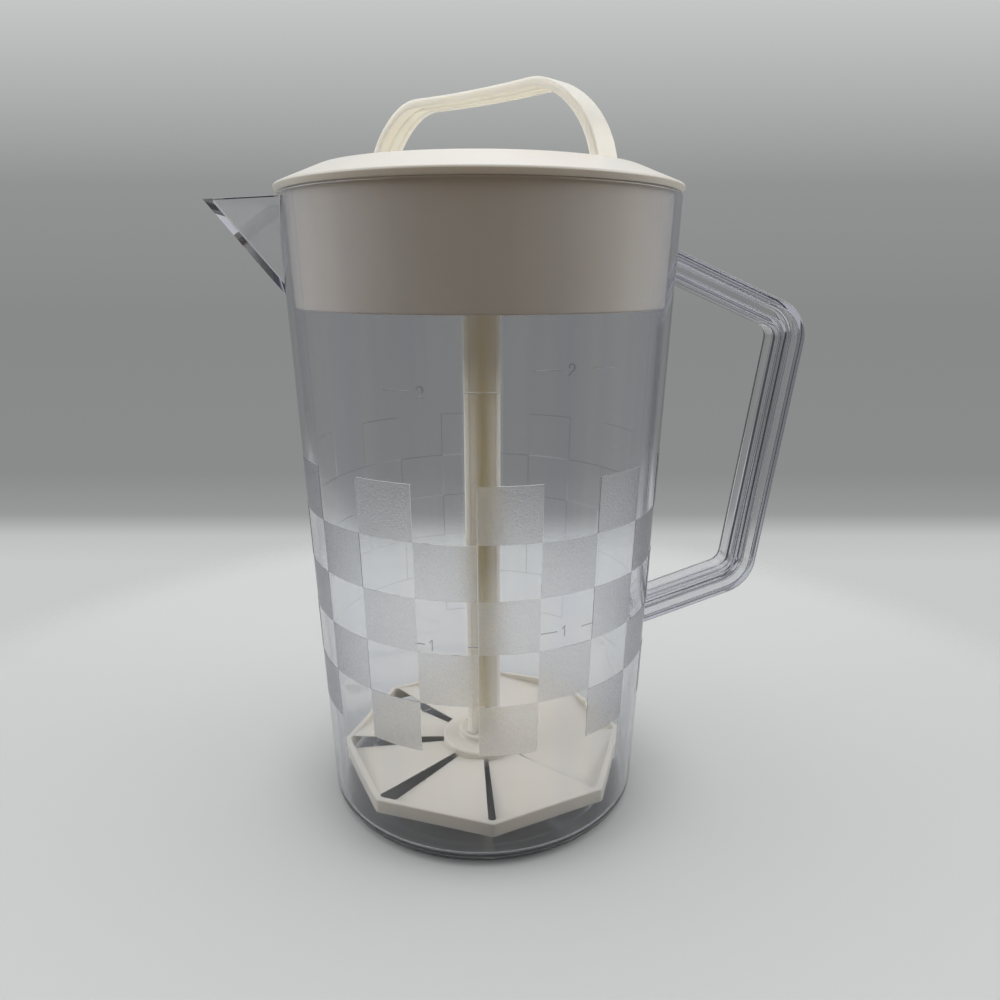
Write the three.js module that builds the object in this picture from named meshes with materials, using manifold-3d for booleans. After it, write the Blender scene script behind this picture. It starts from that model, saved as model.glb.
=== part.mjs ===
// A clear two-quart stirring pitcher with a skirted lid and a hand plunger.
// Millimetres, +Z up. The spout points to -X, the side handle to +X, and the front
// is -Y. Pieces are drawn about the body's axis; at the end the whole is moved so
// that the origin is the middle of its bounds, on the table.

import * as THREE from 'three';
import { mergeVertices } from 'three/addons/utils/BufferGeometryUtils.js';
import { ConvexGeometry } from 'three/addons/geometries/ConvexGeometry.js';
import Module from 'manifold-3d';

const wasm = await Module();
wasm.setup();

// Clear body: a tapered wall on a flat floor
const bodyHeight = 223.6;
const baseRadius = 60.1; // outside of the wall, carried down to the table
const rimRadius = 68.1; // outside of the wall at the rim
const wallThickness = 2.2;
const floorThickness = 3;
const baseCornerRadius = 5.5;
const rimEdgeRadius = 0.9;
const footWidth = 4.5;
const footHeight = 1;

// Frosted check pattern, slightly proud of the wall
const checkRowHeight = 18.6;
const checkLowestHeight = 45.4;
const checkRelief = 0.2;
const checkGap = 0.5; // between the corners of neighbouring squares

// V-shaped spout with flat sides that meet at a ridge
const spoutLength = 23.4; // tip beyond the rim
const spoutHalfWidth = 20; // where the sides leave the rim
const spoutDepth = 31.6; // from the rim down to where the ridge leaves the wall
const spoutRimDrop = 1.4; // level top of the spout below the rim
const spoutNoseHeight = 2.4;
const spoutNoseDepth = 1.9;
const spoutNoseHalfWidth = 1.2;
const spoutWall = 2.2;

// Side handle: an I-section band with two rounded corners
const handleBandDepth = 9.8; // across the band, in the handle's plane
const handleBandWidth = 14.4;
const handleFlange = 2.9;
const handleWeb = 3;
const handleTopDrop = 16; // from the rim down to the upper arm's top line, at the rim radius
const handleTopCornerReach = 54.6; // beyond the rim radius
const handleTopCornerDrop = 39; // below the rim
const handleLowCornerReach = 48.3; // beyond the base radius
const handleLowCornerHeight = 77.6;
const handleLowHeight = 62.4; // bottom line of the lower arm at the base radius
const handleCornerRadius = 15;
const handleEdgeRadius = 0.5;
const handleRootDepth = 12; // arms drawn this far inside the base radius before trimming

// Lid: flange on the rim, raised crest, sunk middle and a deep skirt
const flangeOverhang = 0.6; // beyond the rim
const flangeEdgeHeight = 2.5;
const flangeBevel = 0.9;
const lidSlopeDegrees = 66; // from level, square to the slope between flange and crest
const crestInset = 13.2; // middle of the crest inside the rim radius
const crestHeight = 7.9; // above the flange's underside
const crestWidth = 2.8;
const recessDepth = 10.1; // below the crest
const recessCornerRadius = 1.5;
const lidWall = 2;
const skirtDepth = 36.4; // below the flange's underside
const skirtClearance = 0.5;
const guideRadius = 13.2;
const guideLength = 9;

// Openings in the skirt, with directions in degrees from the front towards +X
const pourWindowDirection = 180;
const pourWindowDegrees = 36;
const pourWindowHeight = 21;
const windowTopMargin = 3; // below the flange's underside
const strainerDirection = 118;
const strainerSlots = 7;
const strainerSlotWidth = 2.2;
const strainerSlotHeight = 21;
const strainerPitchDegrees = 4.5;
const skirtCutMargin = 4;

// Plunger shaft: four ribs in a cross
const shaftSpan = 16.2;
const shaftRib = 3;
const shaftTipRadius = 0.5;
const guideClearance = 0.4;
const socketDepth = 4.2;

// Plunger handle: an arched strap closed by a foot bar with a hub
const archClearance = 1.3; // from the legs to the recess wall
const archLegRadius = 32.2;
const archLegDegrees = 75;
const archSpringHeight = 4; // centre of the leg arcs above the foot's underside
const archCrownDip = 0.7; // the crown sinks to its middle
const strapThickness = 2.9;
const strapWidth = 11.5;
const strapEdgeRadius = 0.7;
const strapChannelDepth = 0.8;
const strapChannelWidth = 7.3;
const strapRibWidth = 1.1;
const footBarHeight = 4;
const handleHubRadius = 12.4;
const handleHubHeight = 7;

// Mixing plate: octagonal rim, eight slanted blades and a hub
const plateClearance = 0.9; // from the corners to the pitcher's wall
const plateRimHeight = 5.5;
const plateRimThickness = 2;
const plateUnderside = 10.5; // above the table, plunger down
const bladeCount = 8;
const bladeThickness = 1.6;
const slotWidthInner = 1.9;
const slotWidthOuter = 3.2;
const plateHubRadius = 16.5;
const plateHubStand = 1; // hub above the rim
const plateBossRadius = 9.7;
const plateBossStand = 2.6; // boss above the hub
const plateSocketFloor = 2;

// Fits and drawing
const seatGap = 0.35;
const fitGap = 0.3;
const cutOverrun = 6;
const plungerTurnDegrees = -49.4; // arch line from the line of spout and handle
const checkColumns = 20;
const checkRows = 5;
const facetsPerColumn = 4;
const roundFacets = checkColumns * facetsPerColumn;
const arcSteps = 6;
const edgeSteps = 3;
const fullTurn = 2 * Math.PI;
const halfShare = 0.5;

const bodyTaper = (rimRadius - baseRadius) / bodyHeight;
const innerWallOffset = wallThickness * Math.hypot(1, bodyTaper);
const lidUnderside = bodyHeight + seatGap;
const flangeRadius = rimRadius + flangeOverhang;
const crestRadius = rimRadius - crestInset;
const crestTop = lidUnderside + crestHeight;
const recessFloor = crestTop - recessDepth;
const archHalfSpan = crestRadius - crestWidth / 2 - archClearance;
const handleFootUnderside = recessFloor + fitGap;
const plateTop = plateUnderside + plateRimHeight;
const shaftBottom = plateUnderside + plateSocketFloor + fitGap;
const shaftTop = handleFootUnderside + socketDepth - fitGap;

const outerWallRadius = (height) => baseRadius + bodyTaper * height;
const innerWallRadius = (height) => outerWallRadius(height) - innerWallOffset;
const plateCornerRadius = innerWallRadius(plateUnderside) - plateClearance;
const spoutReach = rimRadius + spoutLength;
const spoutRootHeight = bodyHeight - spoutDepth;
const spoutTop = bodyHeight - spoutRimDrop;
const point = (across, up) => new THREE.Vector2(across, up);

// Points on an arc, angles in degrees from the first axis
function arc(centre, radius, fromDegrees, toDegrees, steps = arcSteps) {
  return Array.from({ length: steps + 1 }, (_, step) => {
    const degrees = THREE.MathUtils.lerp(fromDegrees, toDegrees, step / steps);
    const angle = THREE.MathUtils.degToRad(degrees);
    return point(centre.x + radius * Math.cos(angle), centre.y + radius * Math.sin(angle));
  });
}

// An open line of corners with each inner corner rounded to the same radius
function roundedLine(corners, radius) {
  const line = [corners[0]];
  for (let index = 1; index < corners.length - 1; index += 1) {
    const corner = corners[index];
    const back = corners[index - 1].clone().sub(corner).normalize();
    const ahead = corners[index + 1].clone().sub(corner).normalize();
    const halfAngle = Math.acos(back.dot(ahead)) / 2;
    const middle = back.clone().add(ahead).normalize();
    const centre = corner.clone().addScaledVector(middle, radius / Math.sin(halfAngle));
    const reach = radius / Math.tan(halfAngle);
    const start = corner.clone().addScaledVector(back, reach).sub(centre);
    const end = corner.clone().addScaledVector(ahead, reach).sub(centre);
    const sweep = Math.atan2(start.cross(end), start.dot(end));
    for (let step = 0; step <= arcSteps; step += 1) {
      const spoke = start.clone().rotateAround(point(0, 0), (sweep * step) / arcSteps);
      line.push(spoke.add(centre));
    }
  }
  return [...line, corners[corners.length - 1]];
}

// The same corners moved sideways by a distance, to the left of their direction
function offsetCorners(corners, distance) {
  const lefts = corners.slice(1).map((corner, index) => {
    const along = corner.clone().sub(corners[index]).normalize();
    return point(-along.y, along.x);
  });
  return corners.map((corner, index) => {
    const before = lefts[Math.max(index - 1, 0)];
    const after = lefts[Math.min(index, lefts.length - 1)];
    const middle = before.clone().add(after).normalize();
    return corner.clone().addScaledVector(middle, distance / middle.dot(before));
  });
}

// A closed geometry as a solid, its faces turned outwards
function solid(geometry) {
  const bare = geometry.clone();
  bare.deleteAttribute('normal');
  bare.deleteAttribute('uv');
  const merged = mergeVertices(bare);
  const places = merged.getAttribute('position').array;
  const faces = [];
  for (let index = 0; index < merged.index.count; index += 3) {
    const face = [0, 1, 2].map((corner) => merged.index.getX(index + corner));
    if (new Set(face).size === face.length) faces.push(face);
  }
  const corner = (vertex) => new THREE.Vector3().fromArray(places, 3 * vertex);
  const volume = faces.reduce((sum, face) => {
    const [first, second, third] = face.map(corner);
    return sum + first.dot(second.cross(third));
  }, 0);
  const outward = volume > 0 ? faces : faces.map(([first, second, third]) => [first, third, second]);
  const mesh = new wasm.Mesh({
    numProp: 3,
    vertProperties: new Float32Array(places),
    triVerts: new Uint32Array(outward.flat()),
  });
  return new wasm.Manifold(mesh);
}

const join = (solids) => solids.reduce((whole, piece) => whole.add(piece));
const cut = (whole, solids) => solids.reduce((rest, piece) => rest.subtract(piece), whole);

// A profile of radius and height turned about the upright axis, from the front
function turned(profile) {
  return solid(new THREE.LatheGeometry([...profile, profile[0]], roundFacets).rotateX(Math.PI / 2));
}

// An outline in the XZ plane, thickened evenly to both sides of it
function upright(outline, width, holes = [], edgeRadius = 0) {
  const shape = new THREE.Shape(outline);
  shape.holes = holes.map((hole) => new THREE.Path(hole));
  const geometry = new THREE.ExtrudeGeometry(shape, {
    depth: width - 2 * edgeRadius,
    bevelEnabled: edgeRadius > 0,
    bevelThickness: edgeRadius,
    bevelSize: edgeRadius,
    bevelOffset: -edgeRadius,
    bevelSegments: edgeSteps,
  });
  geometry.translate(0, 0, edgeRadius - width / 2);
  return solid(geometry.rotateX(Math.PI / 2));
}

// An outline in plan, raised between two heights
function raised(outline, bottom, top) {
  const shape = new THREE.Shape(outline);
  const geometry = new THREE.ExtrudeGeometry(shape, { depth: top - bottom, bevelEnabled: false });
  return solid(geometry.translate(0, 0, bottom));
}

// A wedge in plan about a direction, in degrees from the front towards +X
function wedge(directionDegrees, spreadDegrees, inner, outer, bottom, top) {
  const corners = [-halfShare, halfShare].map((share) => {
    const angle = THREE.MathUtils.degToRad(directionDegrees + share * spreadDegrees);
    return point(Math.sin(angle), -Math.cos(angle));
  });
  const outline = [
    corners[0].clone().multiplyScalar(inner),
    corners[0].clone().multiplyScalar(outer),
    corners[1].clone().multiplyScalar(outer),
    corners[1].clone().multiplyScalar(inner),
  ];
  return raised(outline, bottom, top);
}

// Outline in plan of four ribs in a cross
function crossOutline(span, rib) {
  const far = span / 2;
  const near = rib / 2;
  const quarter = [point(far, -near), point(far, near), point(near, near)];
  return [0, 1, 2, 3].flatMap((turn) =>
    quarter.map((corner) => corner.clone().rotateAround(point(0, 0), (turn * fullTurn) / 4)),
  );
}

function toMesh(name, shape, material) {
  const { vertProperties, triVerts } = shape.getMesh();
  const geometry = new THREE.BufferGeometry();
  geometry.setAttribute('position', new THREE.BufferAttribute(new Float32Array(vertProperties), 3));
  geometry.setIndex(new THREE.BufferAttribute(new Uint32Array(triVerts), 1));
  geometry.computeVertexNormals();
  const mesh = new THREE.Mesh(geometry, material);
  mesh.name = name;
  return mesh;
}

// Outside of the body: foot ring, rounded base corner, tapered wall, rounded rim
function bodyOutside() {
  const cornerCentre = point(outerWallRadius(baseCornerRadius) - baseCornerRadius, baseCornerRadius);
  const footOutside = cornerCentre.x;
  return turned([
    point(0, footHeight),
    point(footOutside - footWidth - footHeight, footHeight),
    point(footOutside - footWidth, 0),
    ...arc(cornerCentre, baseCornerRadius, -90, 0),
    ...arc(point(rimRadius - rimEdgeRadius, bodyHeight - rimEdgeRadius), rimEdgeRadius, 0, 90, edgeSteps),
    point(0, bodyHeight),
  ]);
}

// Space inside the body, open past the rim
function bodyInside() {
  const cornerRadius = baseCornerRadius - wallThickness;
  const cornerHeight = floorThickness + cornerRadius;
  const cornerCentre = point(innerWallRadius(cornerHeight) - cornerRadius, cornerHeight);
  const openTop = bodyHeight + cutOverrun;
  return turned([
    point(0, floorThickness),
    ...arc(cornerCentre, cornerRadius, -90, 0, edgeSteps),
    point(innerWallRadius(openTop), openTop),
    point(0, openTop),
  ]);
}

// The spout's outer form, or its hollow when moved inwards and opened upwards
function spoutForm(inwards, upwards) {
  const rootX = -outerWallRadius(spoutRootHeight) + inwards;
  const edgeX = -Math.sqrt(rimRadius ** 2 - spoutHalfWidth ** 2) + inwards;
  const backX = -rimRadius / 2;
  const tipX = -spoutReach + inwards;
  const sides = [-1, 1].flatMap((side) =>
    [spoutTop, spoutTop + upwards].flatMap((height) => [
      new THREE.Vector3(edgeX, side * spoutHalfWidth, height),
      new THREE.Vector3(backX, side * spoutHalfWidth, height),
      new THREE.Vector3(tipX, side * spoutNoseHalfWidth, height),
    ]),
  );
  const ridge = [
    new THREE.Vector3(tipX + spoutNoseDepth, 0, spoutTop - spoutNoseHeight),
    new THREE.Vector3(rootX, 0, spoutRootHeight),
    new THREE.Vector3(backX, 0, spoutRootHeight),
  ];
  return solid(new ConvexGeometry([...sides, ...ridge]));
}

// How far the spout's hollow moves inwards for its flat sides to be one wall thick
function spoutHollowShift() {
  const edgeX = -Math.sqrt(rimRadius ** 2 - spoutHalfWidth ** 2);
  const edge = new THREE.Vector3(edgeX, spoutHalfWidth, spoutTop);
  const tip = new THREE.Vector3(-spoutReach, 0, spoutTop);
  const root = new THREE.Vector3(-outerWallRadius(spoutRootHeight), 0, spoutRootHeight);
  const side = tip.sub(edge).cross(root.sub(edge)).normalize();
  return spoutWall / Math.abs(side.x);
}

// Raised squares of the check pattern: every other column, shifted row by row
function checks() {
  const columnDegrees = 360 / checkColumns;
  const squareDegrees = columnDegrees - THREE.MathUtils.radToDeg(checkGap / rimRadius);
  return Array.from({ length: checkRows }, (_, row) => {
    const bottom = checkLowestHeight + row * checkRowHeight + checkGap / 2;
    const top = bottom + checkRowHeight - checkGap;
    const band = turned([
      point(innerWallRadius(bottom) + wallThickness / 2, bottom),
      point(outerWallRadius(bottom) + checkRelief, bottom),
      point(outerWallRadius(top) + checkRelief, top),
      point(innerWallRadius(top) + wallThickness / 2, top),
    ]);
    const columns = Array.from({ length: checkColumns / 2 }, (__, column) =>
      wedge(
        (2 * column + (row % 2)) * columnDegrees,
        squareDegrees,
        baseRadius / 2,
        rimRadius + cutOverrun,
        bottom - cutOverrun,
        top + cutOverrun,
      ),
    );
    return band.intersect(join(columns));
  });
}

function pitcherBody(material) {
  const outside = join([bodyOutside(), spoutForm(0, 0), ...checks()]);
  const shape = cut(outside, [bodyInside(), spoutForm(spoutHollowShift(), cutOverrun)]);
  return toMesh('pitcher_body', shape, material);
}

// The handle's band between two insets from its outer and inner faces
function handleBand(inset) {
  const rootReach = baseRadius - handleRootDepth;
  const topCorner = point(rimRadius + handleTopCornerReach, bodyHeight - handleTopCornerDrop);
  const lowCorner = point(baseRadius + handleLowCornerReach, handleLowCornerHeight);
  const topSlope = (handleTopCornerDrop - handleTopDrop) / handleTopCornerReach;
  const lowSlope = (handleLowCornerHeight - handleLowHeight) / handleLowCornerReach;
  const outerCorners = [
    point(rootReach, topCorner.y + topSlope * (topCorner.x - rootReach)),
    topCorner,
    lowCorner,
    point(rootReach, lowCorner.y - lowSlope * (lowCorner.x - rootReach)),
  ];
  const outside = roundedLine(offsetCorners(outerCorners, -inset), handleCornerRadius - inset);
  const inside = roundedLine(
    offsetCorners(outerCorners, inset - handleBandDepth),
    handleCornerRadius - handleBandDepth + inset,
  );
  return [...outside, ...inside.reverse()];
}

// Side handle, its arm ends shaped to the wall that they are bonded to
function bodyHandle(material) {
  const grooveDepth = (handleBandWidth - handleWeb) / 2;
  const grooveMiddle = (handleWeb + grooveDepth + cutOverrun) / 2;
  const groove = upright(handleBand(handleFlange), grooveDepth + cutOverrun);
  const wallKeep = checkRelief + fitGap;
  const coneTop = bodyHeight + baseRadius;
  const wallCone = turned([
    point(0, -cutOverrun),
    point(outerWallRadius(-cutOverrun) + wallKeep, -cutOverrun),
    point(outerWallRadius(coneTop) + wallKeep, coneTop),
    point(0, coneTop),
  ]);
  const band = upright(handleBand(0), handleBandWidth, [], handleEdgeRadius);
  const shape = cut(band, [
    groove.translate([0, grooveMiddle, 0]),
    groove.translate([0, -grooveMiddle, 0]),
    wallCone,
  ]);
  return toMesh('body_handle', shape, material);
}

// Half section of the lid, round once: top side inwards, underside outwards
function lidProfile() {
  const flangeTop = lidUnderside + flangeEdgeHeight;
  const crestInside = crestRadius - crestWidth / 2;
  const crestOutside = crestRadius + crestWidth / 2;
  const floorUnderside = recessFloor - lidWall;
  const skirtBottom = lidUnderside - skirtDepth;
  const skirtTopRadius = innerWallRadius(bodyHeight) - skirtClearance;
  const skirtLowRadius = innerWallRadius(skirtBottom) - skirtClearance;
  const cornerCentre = point(crestInside - recessCornerRadius, recessFloor + recessCornerRadius);
  const bevelCentre = point(flangeRadius - flangeBevel, flangeTop - flangeBevel);
  const crestCentre = point(crestRadius, crestTop - crestWidth / 2);
  return [
    point(flangeRadius, lidUnderside),
    ...arc(bevelCentre, flangeBevel, 0, lidSlopeDegrees, edgeSteps),
    ...arc(crestCentre, crestWidth / 2, lidSlopeDegrees, 180, edgeSteps),
    ...arc(cornerCentre, recessCornerRadius, 0, -90, edgeSteps),
    point(0, recessFloor),
    point(0, floorUnderside - guideLength),
    point(guideRadius, floorUnderside - guideLength),
    point(guideRadius, floorUnderside),
    ...arc(cornerCentre, recessCornerRadius + lidWall, -90, 0, edgeSteps),
    point(crestInside + lidWall, crestCentre.y - lidWall),
    point(crestOutside, crestCentre.y - lidWall),
    point(skirtTopRadius - lidWall, lidUnderside + lidWall / 2),
    point(skirtLowRadius - lidWall, skirtBottom),
    point(skirtLowRadius, skirtBottom),
    point(skirtTopRadius, lidUnderside),
  ];
}

// Lid with its guide hole, and in the skirt a pour window and strainer slots
function lid(material) {
  const windowTop = lidUnderside - windowTopMargin;
  const skirtInside = innerWallRadius(lidUnderside - skirtDepth) - skirtClearance - lidWall;
  const inner = skirtInside - skirtCutMargin;
  const outer = rimRadius + cutOverrun;
  const windowBottom = windowTop - pourWindowHeight;
  const pourWindow = wedge(pourWindowDirection, pourWindowDegrees, inner, outer, windowBottom, windowTop);
  const slotDegrees = THREE.MathUtils.radToDeg(strainerSlotWidth / skirtInside);
  const slots = Array.from({ length: strainerSlots }, (_, slot) => {
    const direction = strainerDirection + (slot - (strainerSlots - 1) / 2) * strainerPitchDegrees;
    return wedge(direction, slotDegrees, inner, outer, windowTop - strainerSlotHeight, windowTop);
  });
  const hole = raised(
    crossOutline(shaftSpan + 2 * guideClearance, shaftRib + 2 * guideClearance),
    recessFloor - lidWall - guideLength - cutOverrun,
    recessFloor + cutOverrun,
  );
  const turnedHole = hole.rotate([0, 0, plungerTurnDegrees]);
  return toMesh('lid', cut(turned(lidProfile()), [pourWindow, ...slots, turnedHole]), material);
}

// Right half of the arch from foot to crown, drawn in by an inset, then mirrored
function archOutline(inset) {
  const springHeight = handleFootUnderside + archSpringHeight;
  const legCentre = point(archHalfSpan - archLegRadius, springHeight);
  const leg = arc(legCentre, archLegRadius - inset, 0, archLegDegrees, 2 * arcSteps);
  const shoulder = leg[leg.length - 1];
  const crown = Array.from({ length: arcSteps - 1 }, (_, step) => {
    const share = 1 - (step + 1) / arcSteps;
    return point(share * shoulder.x, shoulder.y - archCrownDip * (1 - share ** 2));
  });
  const right = [...leg, ...crown];
  const left = right.map((corner) => point(-corner.x, corner.y)).reverse();
  return [...right, point(0, shoulder.y - archCrownDip), ...left];
}

// Arch outline closed along a level line at the given height
function closedArch(inset, height) {
  const half = archHalfSpan - inset;
  return [point(half, height), ...archOutline(inset), point(-half, height)];
}

function plungerHandle(material) {
  const barTop = handleFootUnderside + footBarHeight;
  const strap = upright(
    closedArch(0, handleFootUnderside),
    strapWidth,
    [closedArch(strapThickness, barTop)],
    strapEdgeRadius,
  );
  const sideChannel = (strapChannelWidth - strapRibWidth) / 2;
  const channel = upright(closedArch(strapThickness - strapChannelDepth, barTop), sideChannel);
  const channelMiddle = (sideChannel + strapRibWidth) / 2;
  const hubTop = handleFootUnderside + handleHubHeight;
  const hubEdge = footBarHeight / 2;
  const hub = turned([
    point(0, handleFootUnderside),
    point(handleHubRadius, handleFootUnderside),
    ...arc(point(handleHubRadius - hubEdge, hubTop - hubEdge), hubEdge, 0, 90, edgeSteps),
    point(0, hubTop),
  ]);
  const socket = raised(
    crossOutline(shaftSpan + 2 * fitGap, shaftRib + 2 * fitGap),
    handleFootUnderside - cutOverrun,
    handleFootUnderside + socketDepth,
  );
  const carved = cut(strap, [
    channel.translate([0, channelMiddle, 0]),
    channel.translate([0, -channelMiddle, 0]),
  ]);
  return toMesh('plunger_handle', cut(join([carved, hub]), [socket]), material);
}

// Cross-shaped shaft from the plate's socket up into the handle's hub
function plungerShaft(material) {
  const outline = crossOutline(shaftSpan, shaftRib);
  const shape = new THREE.Shape(outline);
  const geometry = new THREE.ExtrudeGeometry(shape, {
    depth: shaftTop - shaftBottom - 2 * shaftTipRadius,
    bevelThickness: shaftTipRadius,
    bevelSize: shaftTipRadius,
    bevelOffset: -shaftTipRadius,
    bevelSegments: edgeSteps,
  });
  geometry.translate(0, 0, shaftBottom + shaftTipRadius);
  return toMesh('plunger_shaft', solid(geometry), material);
}

// Outline in plan of the plate's octagon, one corner on the arch line
function octagon(cornerRadius) {
  return Array.from({ length: bladeCount }, (_, corner) => {
    const angle = (corner * fullTurn) / bladeCount;
    return point(cornerRadius * Math.cos(angle), cornerRadius * Math.sin(angle));
  });
}

// One blade, from one corner's slot to the next, its first edge low and last edge high
function blade(index) {
  const halfSpread = fullTurn / bladeCount / 2;
  const outerReach = plateCornerRadius * Math.cos(halfSpread) - plateRimThickness / 2;
  const innerReach = plateHubRadius - plateRimThickness;
  const innerHalf = innerReach * Math.tan(halfSpread) - slotWidthInner / 2;
  const outerHalf = outerReach * Math.tan(halfSpread) - slotWidthOuter / 2;
  const outline = [
    point(innerReach, -innerHalf),
    point(outerReach, -outerHalf),
    point(outerReach, outerHalf),
    point(innerReach, innerHalf),
  ];
  const tilt = Math.atan((plateRimHeight - bladeThickness) / (2 * outerHalf));
  const shape = new THREE.Shape(outline);
  const geometry = new THREE.ExtrudeGeometry(shape, { depth: bladeThickness, bevelEnabled: false });
  geometry.translate(0, 0, -bladeThickness / 2);
  geometry.rotateX(tilt);
  geometry.translate(0, 0, plateUnderside + plateRimHeight / 2);
  geometry.rotateZ((2 * index + 1) * halfSpread);
  return solid(geometry);
}

function mixingPlate(material) {
  const innerCorner = plateCornerRadius - plateRimThickness / Math.cos(Math.PI / bladeCount);
  const rim = cut(raised(octagon(plateCornerRadius), plateUnderside, plateTop), [
    raised(octagon(innerCorner), plateUnderside - cutOverrun, plateTop + cutOverrun),
  ]);
  const blades = Array.from({ length: bladeCount }, (_, index) => blade(index));
  const hubTop = plateTop + plateHubStand;
  const hub = turned([
    point(0, plateUnderside),
    point(plateHubRadius, plateUnderside),
    point(plateHubRadius, hubTop),
    point(plateBossRadius + plateHubStand, hubTop),
    point(plateBossRadius, hubTop + plateHubStand),
    point(plateBossRadius, hubTop + plateBossStand),
    point(0, hubTop + plateBossStand),
  ]);
  const socket = raised(
    crossOutline(shaftSpan + 2 * fitGap, shaftRib + 2 * fitGap),
    plateUnderside + plateSocketFloor,
    hubTop + plateBossStand + cutOverrun,
  );
  return toMesh('mixing_plate', cut(join([rim, hub, ...blades]), [socket]), material);
}

const clearPlastic = new THREE.MeshStandardMaterial({
  color: '#dfe1e8',
  roughness: 0.06,
  metalness: 0,
  transparent: true,
  opacity: 0.35,
});
const clearHandlePlastic = clearPlastic.clone();
clearHandlePlastic.color.set('#cfd0da');
const whitePlastic = new THREE.MeshStandardMaterial({ color: '#e9e8e2', roughness: 0.35, metalness: 0 });
const creamPlastic = new THREE.MeshStandardMaterial({ color: '#e8e2d0', roughness: 0.4, metalness: 0 });

// The plunger's pieces share one turned frame, set by the lid's cross-shaped guide
const plunger = new THREE.Group();
plunger.rotation.z = THREE.MathUtils.degToRad(plungerTurnDegrees);
plunger.add(
  plungerHandle(creamPlastic),
  plungerShaft(creamPlastic.clone()),
  mixingPlate(creamPlastic.clone()),
);

const pitcher = new THREE.Group();
pitcher.add(pitcherBody(clearPlastic), bodyHandle(clearHandlePlastic), lid(whitePlastic), plunger);

const bounds = new THREE.Box3().setFromObject(pitcher, true);
pitcher.position.x = -(bounds.min.x + bounds.max.x) / 2;

export default pitcher;
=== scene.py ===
"""A clear stirring pitcher with a white skirted lid and a cream hand plunger, on its CAD frame."""

import math
from functools import partial

import bmesh
import bpy
import numpy as np
from mathutils import Matrix, Vector

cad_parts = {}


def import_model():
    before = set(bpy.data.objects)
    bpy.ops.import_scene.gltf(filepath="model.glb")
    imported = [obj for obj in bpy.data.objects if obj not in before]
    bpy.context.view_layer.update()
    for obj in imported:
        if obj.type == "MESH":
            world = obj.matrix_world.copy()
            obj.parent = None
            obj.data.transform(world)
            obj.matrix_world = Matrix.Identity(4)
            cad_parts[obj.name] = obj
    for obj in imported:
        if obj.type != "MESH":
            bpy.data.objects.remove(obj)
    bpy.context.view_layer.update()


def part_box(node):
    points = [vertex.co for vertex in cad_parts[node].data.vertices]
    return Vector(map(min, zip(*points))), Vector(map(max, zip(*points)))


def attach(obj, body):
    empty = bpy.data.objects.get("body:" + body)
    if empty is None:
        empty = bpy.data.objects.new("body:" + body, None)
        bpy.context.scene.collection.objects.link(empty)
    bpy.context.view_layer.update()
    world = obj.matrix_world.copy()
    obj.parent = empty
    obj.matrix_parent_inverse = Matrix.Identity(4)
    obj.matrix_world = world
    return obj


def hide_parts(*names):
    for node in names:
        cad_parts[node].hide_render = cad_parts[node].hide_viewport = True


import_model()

MM = 0.001

# Places and sizes that the frame gives
wall_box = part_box("pitcher_body")
lid_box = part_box("lid")
handle_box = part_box("plunger_handle")
shaft_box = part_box("plunger_shaft")
plate_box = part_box("mixing_plate")
AXIS_X = (lid_box[0].x + lid_box[1].x) / 2
BODY_HEIGHT = wall_box[1].z
RIM_RADIUS = wall_box[1].y
FLANGE_RADIUS = lid_box[1].y
CREST_TOP = lid_box[1].z
SKIRT_BOTTOM = lid_box[0].z
FOOT_UNDERSIDE = handle_box[0].z
PLATE_BOTTOM = plate_box[0].z

# Clear body
BASE_RADIUS = 60.1 * MM
WALL = 2.2 * MM
FLOOR = 3 * MM
CORNER = 5.5 * MM
RIM_EDGE = 0.6 * MM
FOOT_WIDTH = 4.5 * MM
FOOT_HEIGHT = 1 * MM
FOOT_FILLET = 0.6 * MM
FOOT_EDGE = 0.5 * MM
TAPER = (RIM_RADIUS - BASE_RADIUS) / BODY_HEIGHT
INNER_OFFSET = WALL * math.hypot(1, TAPER)

# Frosted checks
CHECK_COLUMNS = 20
CHECK_ROWS = 5
CHECK_ROW = 18.6 * MM
CHECK_LOW = 45.4 * MM
CHECK_RELIEF = 0.11 * MM
CHECK_EDGE = 0.06 * MM
CHECK_TOLERANCE = 0.01 * MM
FACES_PER_CHECK = 14

# Spout
SPOUT_LENGTH = 23.4 * MM
SPOUT_HALF = 20 * MM
SPOUT_DEPTH = 32.8 * MM
SPOUT_DROP = 1.4 * MM
NOSE_HEIGHT = 2.4 * MM
NOSE_DEPTH = 1.9 * MM
NOSE_HALF = 1.2 * MM
SPOUT_WALL = 2.2 * MM
SPOUT_TOP = BODY_HEIGHT - SPOUT_DROP
RIDGE_RADIUS = 0.7 * MM
SPOUT_EDGE = 0.15 * MM

# Side handle
BAND_DEPTH = 9.8 * MM
BAND_WIDTH = 14.4 * MM
BAND_FLANGE = 2.9 * MM
BAND_WEB = 3 * MM
HANDLE_TOP_DROP = 16 * MM
TOP_CORNER = (54.54 * MM, 39 * MM)
LOW_CORNER = (48.3 * MM, 77.6 * MM)
HANDLE_LOW = 62.4 * MM
HANDLE_BEND = 15 * MM
BAND_EDGE = 0.8 * MM
BAND_LIP = 0.48 * MM
BAND_FILLET = 1 * MM

# Volume marks
MARK_WIDTH = 0.5 * MM
MARK_RELIEF = 0.2 * MM
MARK_ROOT = 0.05 * MM
MARK_CREST_SHARE = 0.6
MARK_STEP = 2 * MM
MARK_FROST = 0.5
DIGIT_WIDTH = 1.9 * MM
DIGIT_HEIGHT = 3 * MM

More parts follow.
